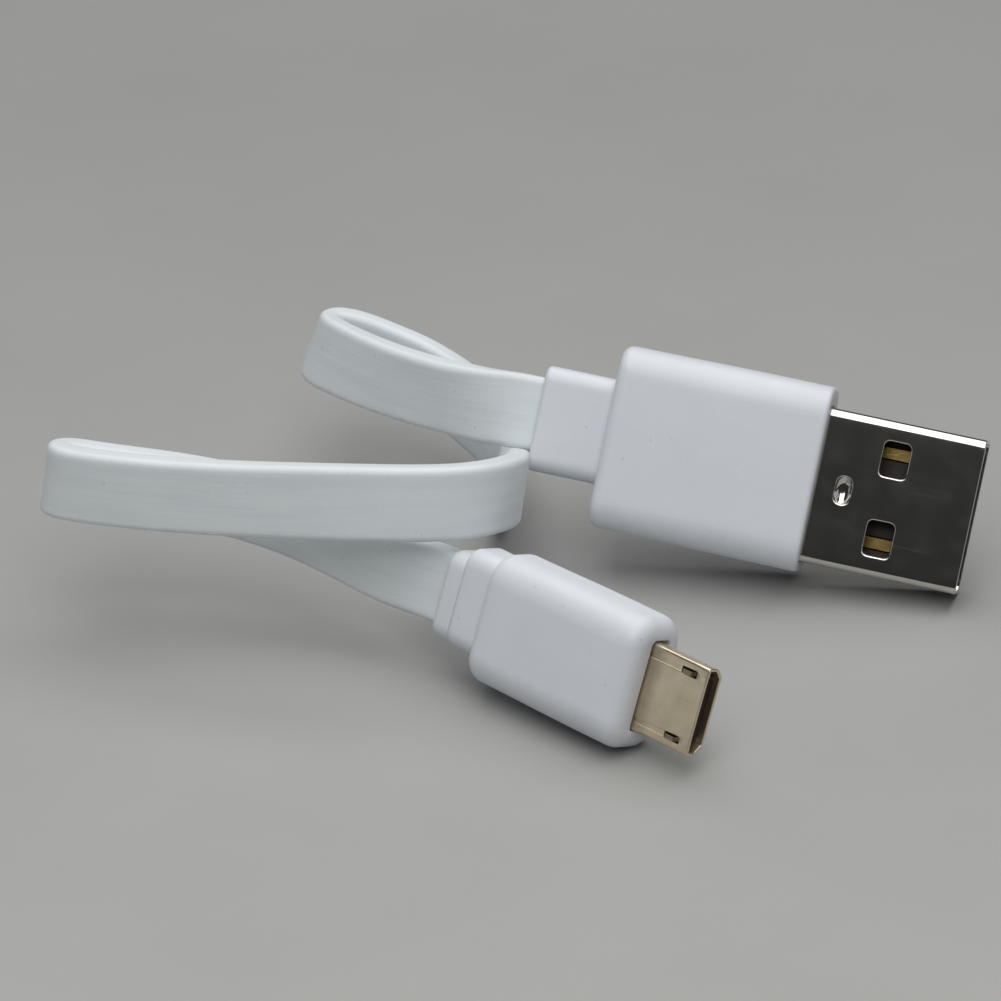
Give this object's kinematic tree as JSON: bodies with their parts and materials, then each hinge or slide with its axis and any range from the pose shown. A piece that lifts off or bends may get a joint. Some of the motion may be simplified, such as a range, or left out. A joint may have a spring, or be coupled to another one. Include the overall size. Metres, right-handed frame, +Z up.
{
  "type": "charging cable",
  "caption": "Short flat white charging cable with a USB-A plug and a Micro-B plug, its ribbon cord resting on edge in two loops.",
  "frame": {"origin": "on the floor, under the middle of the box round the two plugs", "axes": "+Z up, +X from the cord's loops towards the plugs' tips, +Y from the Micro-B plug towards the USB-A plug"},
  "size_m": [0.0723, 0.0538, 0.0174],
  "materials": {
    "white_plastic": "smooth white moulding",
    "ribbon_jacket": "satin white elastomer",
    "inner_mould_plastic": "milky, moulded round the joints",
    "nickel_plate": "bright nickel plate on steel",
    "champagne_plate": "warm bright plate on steel",
    "gold_plate": "gold flash on copper alloy",
    "spring_steel": "stamped spring strip",
    "dark_plastic": "dark moulded carrier",
    "core_red": "insulation",
    "core_white": "insulation",
    "core_green": "insulation",
    "core_black": "insulation"
  },
  "bodies": {
    "cable": {"micro_b_contact_1": "gold_plate", "micro_b_contact_2": "gold_plate", "micro_b_contact_3": "gold_plate", "micro_b_contact_4": "gold_plate", "micro_b_contact_5": "gold_plate", "micro_b_core_data_minus": "core_white", "micro_b_core_data_plus": "core_green", "micro_b_core_ground": "core_black", "micro_b_core_power": "core_red", "micro_b_housing": "white_plastic", "micro_b_inner_mould": "inner_mould_plastic", "micro_b_insulator": "dark_plastic", "micro_b_shell": "champagne_plate", "micro_b_strain_relief": "white_plastic", "ribbon_cord": "ribbon_jacket", "usb_a_contact_1": "gold_plate", "usb_a_contact_2": "gold_plate", "usb_a_contact_3": "gold_plate", "usb_a_contact_4": "gold_plate", "usb_a_core_data_minus": "core_white", "usb_a_core_data_plus": "core_green", "usb_a_core_ground": "core_black", "usb_a_core_power": "core_red", "usb_a_housing": "white_plastic", "usb_a_inner_mould": "inner_mould_plastic", "usb_a_insulator": "dark_plastic", "usb_a_shell": "nickel_plate", "usb_a_strain_relief": "white_plastic"},
    "latch_left": {"micro_b_latch_left": "spring_steel"},
    "latch_right": {"micro_b_latch_right": "spring_steel"}
  },
  "joints": [
    {"name": "latch_left_press", "type": "hinge", "parent": "cable", "child": "latch_left", "pos_m": [-0.0071, -0.01355, 0.00798], "axis": [0.2557, 0.2202, 0.9414], "range_deg": [0, 3.5], "stiffness_Nm_per_rad": 0.03},
    {"name": "latch_right_press", "type": "hinge", "parent": "cable", "child": "latch_right", "pos_m": [-0.0084, -0.01468, 0.00318], "axis": [0.2557, 0.2202, 0.9414], "range_deg": [0, 3.5], "stiffness_Nm_per_rad": 0.03}
  ]
}
